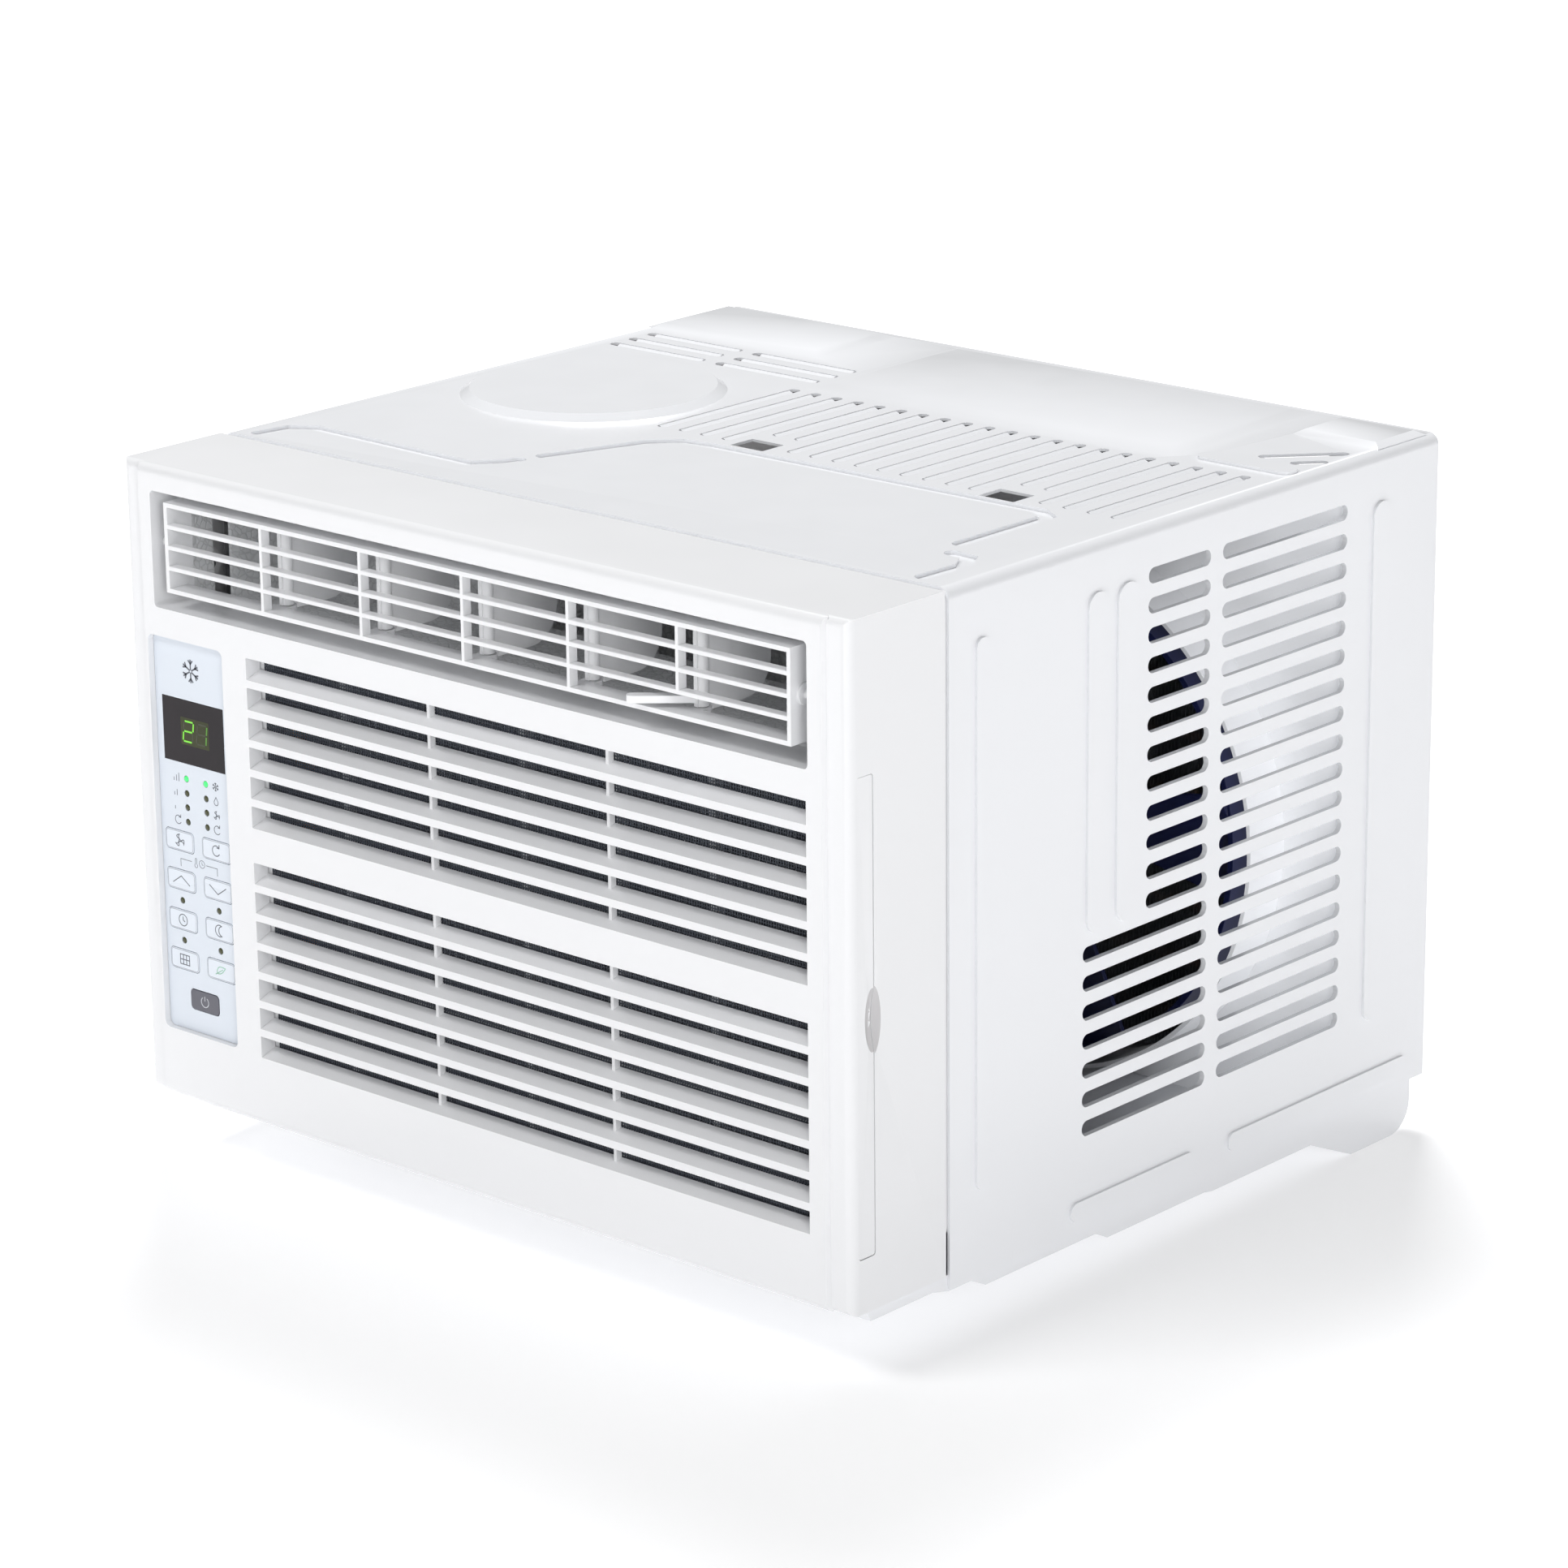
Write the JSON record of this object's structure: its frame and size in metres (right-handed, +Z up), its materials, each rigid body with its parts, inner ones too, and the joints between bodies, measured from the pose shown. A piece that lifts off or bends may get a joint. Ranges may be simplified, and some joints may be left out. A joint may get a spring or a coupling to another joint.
{
  "type": "window air conditioner",
  "caption": "Window air conditioner in a slotted white steel case with a tilting louvre, swinging vanes, slide-out filter, key panel, fan and sealed cooling circuit",
  "frame": {"origin": "centre of the whole outline, on the surface that the feet stand on", "axes": "+X to the right seen from the room side, +Y from the room side towards the outdoor side, +Z up"},
  "size_m": [0.4084, 0.3936, 0.3164],
  "materials": {
    "case_steel": "satin",
    "bezel_plastic": "gloss",
    "vane_plastic": "satin",
    "overlay_film": "satin",
    "key_film": "satin",
    "key_power_film": "satin",
    "display_lens": "gloss",
    "led_lens": "gloss",
    "filter_screen": "woven",
    "foam": "matte",
    "galvanised": "satin",
    "screw_steel": "polished",
    "fin_aluminium": "satin",
    "copper_tube": "satin",
    "shroud_plastic": "satin",
    "fan_plastic": "satin",
    "wheel_plastic": "matte",
    "motor_paint": "satin",
    "compressor_paint": "gloss",
    "rubber": "matte",
    "circuit_board": "satin",
    "capacitor_can": "satin"
  },
  "bodies": {
    "root": {"base_pan": "case_steel", "front_feet": "rubber", "wrap_cabinet": "case_steel", "rear_guard": "case_steel", "cabinet_screws": "screw_steel", "front_bezel": "bezel_plastic", "bezel_screws": "screw_steel", "cord_gland": "rubber", "divider_panel": "galvanised", "top_brace": "galvanised", "discharge_duct": "foam", "blower_scroll": "foam", "drip_tray": "foam", "evaporator_fins": "fin_aluminium", "evaporator_tubes": "copper_tube", "room_sensor": "rubber", "condenser_fins": "fin_aluminium", "condenser_tubes": "copper_tube", "fan_shroud": "shroud_plastic", "fan_motor": "motor_paint", "motor_bracket": "galvanised", "compressor": "compressor_paint", "compressor_grommets": "rubber", "compressor_nuts": "screw_steel", "terminal_cover": "wheel_plastic", "accumulator": "compressor_paint", "suction_pipe": "copper_tube", "discharge_pipe": "copper_tube", "filter_drier": "copper_tube", "capillary_tube": "copper_tube", "control_box": "galvanised", "control_board": "circuit_board", "control_overlay": "overlay_film", "display_window": "display_lens", "indicator_leds": "led_lens", "run_capacitor": "capacitor_can", "capacitor_strap": "galvanised"},
    "fan_rotor": {"motor_shaft": "screw_steel", "blower_wheel": "wheel_plastic", "condenser_fan": "fan_plastic", "fan_nuts": "screw_steel"},
    "air_filter": {"filter_frame": "bezel_plastic", "filter_mesh": "filter_screen"},
    "louver": {"louver_frame": "bezel_plastic"},
    "vane_1": {"vane_1": "vane_plastic"},
    "vane_2": {"vane_2": "vane_plastic"},
    "vane_3": {"vane_3": "vane_plastic"},
    "vane_4": {"vane_4": "vane_plastic"},
    "vane_5": {"vane_5": "vane_plastic"},
    "link": {"vane_link": "vane_plastic"},
    "key_fan_speed": {"key_fan_speed": "key_film"},
    "key_mode": {"key_mode": "key_film"},
    "key_temp_up": {"key_temp_up": "key_film"},
    "key_temp_down": {"key_temp_down": "key_film"},
    "key_timer": {"key_timer": "key_film"},
    "key_sleep": {"key_sleep": "key_film"},
    "key_filter": {"key_filter": "key_film"},
    "key_eco": {"key_eco": "key_film"},
    "key_power": {"key_power": "key_power_film"}
  },
  "joints": [
    {"name": "fan_spin", "type": "hinge", "parent": "root", "child": "fan_rotor", "pos_m": [0.05, 0.1012, 0.138], "axis": [0, 1, 0], "continuous": true},
    {"name": "filter_slide", "type": "slide", "parent": "root", "child": "air_filter", "axis": [1, 0, 0], "range_m": [0, 0.32]},
    {"name": "louver_tilt", "type": "hinge", "parent": "root", "child": "louver", "pos_m": [0, -0.1828, 0.2787], "axis": [1, 0, 0], "range_deg": [-15, 15]},
    {"name": "vane_5_swing", "type": "hinge", "parent": "louver", "child": "vane_5", "pos_m": [0.117, -0.1768, 0.278], "axis": [0, 0, 1], "range_deg": [-30, 30]},
    {"name": "vane_1_swing", "type": "hinge", "parent": "louver", "child": "vane_1", "pos_m": [-0.117, -0.1768, 0.278], "axis": [0, 0, 1], "range_deg": [-30, 30]},
    {"name": "vane_2_swing", "type": "hinge", "parent": "louver", "child": "vane_2", "pos_m": [-0.0585, -0.1768, 0.278], "axis": [0, 0, 1], "range_deg": [-30, 30]},
    {"name": "vane_3_swing", "type": "hinge", "parent": "louver", "child": "vane_3", "pos_m": [0, -0.1768, 0.278], "axis": [0, 0, 1], "range_deg": [-30, 30]},
    {"name": "vane_4_swing", "type": "hinge", "parent": "louver", "child": "vane_4", "pos_m": [0.0585, -0.1768, 0.278], "axis": [0, 0, 1], "range_deg": [-30, 30]},
    {"name": "link_turn", "type": "hinge", "parent": "vane_5", "child": "link", "pos_m": [0.117, -0.1488, 0.2955], "axis": [0, 0, 1], "range_deg": [-30, 30]},
    {"name": "press_fan_speed", "type": "slide", "parent": "root", "child": "key_fan_speed", "axis": [0, 1, 0], "range_m": [0, 0.0005], "stiffness_N_per_m": 400},
    {"name": "press_mode", "type": "slide", "parent": "root", "child": "key_mode", "axis": [0, 1, 0], "range_m": [0, 0.0005], "stiffness_N_per_m": 400},
    {"name": "press_temp_up", "type": "slide", "parent": "root", "child": "key_temp_up", "axis": [0, 1, 0], "range_m": [0, 0.0005], "stiffness_N_per_m": 400},
    {"name": "press_temp_down", "type": "slide", "parent": "root", "child": "key_temp_down", "axis": [0, 1, 0], "range_m": [0, 0.0005], "stiffness_N_per_m": 400},
    {"name": "press_timer", "type": "slide", "parent": "root", "child": "key_timer", "axis": [0, 1, 0], "range_m": [0, 0.0005], "stiffness_N_per_m": 400},
    {"name": "press_sleep", "type": "slide", "parent": "root", "child": "key_sleep", "axis": [0, 1, 0], "range_m": [0, 0.0005], "stiffness_N_per_m": 400},
    {"name": "press_filter", "type": "slide", "parent": "root", "child": "key_filter", "axis": [0, 1, 0], "range_m": [0, 0.0005], "stiffness_N_per_m": 400},
    {"name": "press_eco", "type": "slide", "parent": "root", "child": "key_eco", "axis": [0, 1, 0], "range_m": [0, 0.0005], "stiffness_N_per_m": 400},
    {"name": "press_power", "type": "slide", "parent": "root", "child": "key_power", "axis": [0, 1, 0], "range_m": [0, 0.0005], "stiffness_N_per_m": 400}
  ],
  "couplings": [
    {"joint": "vane_1_swing", "follows": "vane_5_swing", "ratio": 1},
    {"joint": "vane_2_swing", "follows": "vane_5_swing", "ratio": 1},
    {"joint": "vane_3_swing", "follows": "vane_5_swing", "ratio": 1},
    {"joint": "vane_4_swing", "follows": "vane_5_swing", "ratio": 1},
    {"joint": "link_turn", "follows": "vane_5_swing", "ratio": -1}
  ]
}
